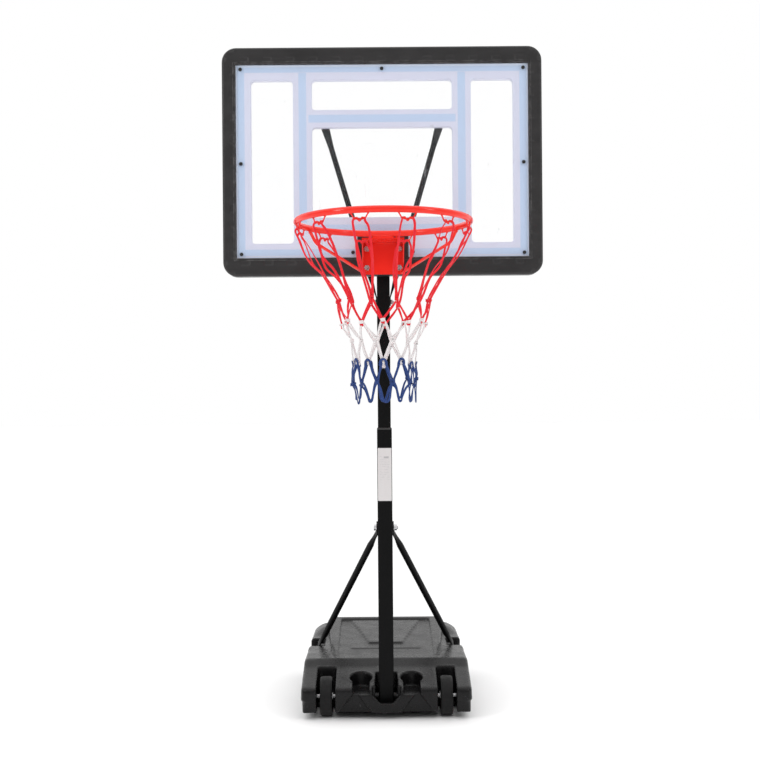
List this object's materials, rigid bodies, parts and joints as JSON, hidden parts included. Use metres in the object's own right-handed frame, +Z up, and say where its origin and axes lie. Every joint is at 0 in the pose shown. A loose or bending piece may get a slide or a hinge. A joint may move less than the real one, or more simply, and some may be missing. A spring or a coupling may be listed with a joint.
{
  "type": "portable basketball hoop",
  "caption": "Portable hoop: wheeled ballast tank, braced telescoping square pole, framed clear backboard, red rim and knotted net.",
  "frame": {"origin": "on the floor under the middle of the object's overall box, 0.021 m in front of the pole's axis", "axes": "+Z up along the pole; -Y is the front, the way the board faces; +X across the board"},
  "size_m": [0.81, 1.0365, 1.704],
  "materials": {
    "black_hdpe": "fine-grained blow-moulded polyethylene",
    "frame_plastic": "satin moulded plastic",
    "hard_plastic": "moulded plastic",
    "wheel_plastic": "moulded plastic with a worn tread",
    "black_powder": "black powder coat",
    "red_paint": "glossy red enamel",
    "zinc": "bright zinc plate",
    "steel": "plain steel rod",
    "insert_brass": "turned brass",
    "clear_sheet": "clear polycarbonate",
    "blue_print": "printed film, powder blue on pale lavender",
    "black_screw": "black oxide",
    "label_paper": "blank paper label",
    "gasket_rubber": "soft rubber",
    "cord_red": "flat braided red cord",
    "cord_white": "flat braided white cord",
    "cord_blue": "flat braided blue cord"
  },
  "bodies": {
    "base": {"base_tank": "black_hdpe", "axle": "steel", "axle_caps": "zinc", "axle_washers": "zinc", "pole_spacers": "hard_plastic", "lower_pole": "black_powder", "pole_foot_plug": "hard_plastic", "pole_bushing": "hard_plastic", "pole_label": "label_paper", "knob_nut": "zinc", "brace_left": "black_powder", "brace_right": "black_powder", "brace_pole_bolt": "zinc", "brace_pole_nut": "zinc", "brace_pole_washers": "zinc", "brace_foot_bolts": "zinc", "brace_foot_inserts": "insert_brass"},
    "upper_assembly": {"upper_pole": "black_powder", "pole_top_cap": "hard_plastic", "pole_plate": "black_powder", "backboard_frame": "frame_plastic", "backboard_sheet": "clear_sheet", "border_print": "blue_print", "sheet_screws": "black_screw", "strut_left": "black_powder", "strut_right": "black_powder", "strut_pole_bolt": "zinc", "strut_pole_nut": "zinc", "strut_board_bolts": "zinc", "strut_board_nuts": "zinc", "rim_ring": "red_paint", "rim_bracket": "red_paint", "rim_stay_left": "red_paint", "rim_stay_right": "red_paint", "net_hooks": "red_paint", "rim_bolts": "zinc", "rim_washers": "zinc", "rim_nuts": "zinc", "net_red": "cord_red", "net_white": "cord_white", "net_blue": "cord_blue"},
    "clamp_knob": {"height_knob": "hard_plastic"},
    "tank_cap": {"filler_cap": "hard_plastic", "cap_gasket": "gasket_rubber"},
    "left_wheel": {"wheel_left": "wheel_plastic"},
    "right_wheel": {"wheel_right": "wheel_plastic"}
  },
  "joints": [
    {"name": "pole_height", "type": "slide", "parent": "base", "child": "upper_assembly", "axis": [0, 0, 1], "range_m": [-0.05, 0.1]},
    {"name": "knob_turn", "type": "hinge", "parent": "base", "child": "clamp_knob", "pos_m": [0, 0.061, 0.708], "axis": [0, 1, 0], "continuous": true},
    {"name": "cap_pull", "type": "slide", "parent": "base", "child": "tank_cap", "axis": [0, 1, 0], "range_m": [0, 0.05]},
    {"name": "left_wheel_spin", "type": "hinge", "parent": "base", "child": "left_wheel", "pos_m": [-0.154, 0.021, 0.05], "axis": [1, 0, 0], "continuous": true},
    {"name": "right_wheel_spin", "type": "hinge", "parent": "base", "child": "right_wheel", "pos_m": [0.154, 0.021, 0.05], "axis": [1, 0, 0], "continuous": true}
  ]
}
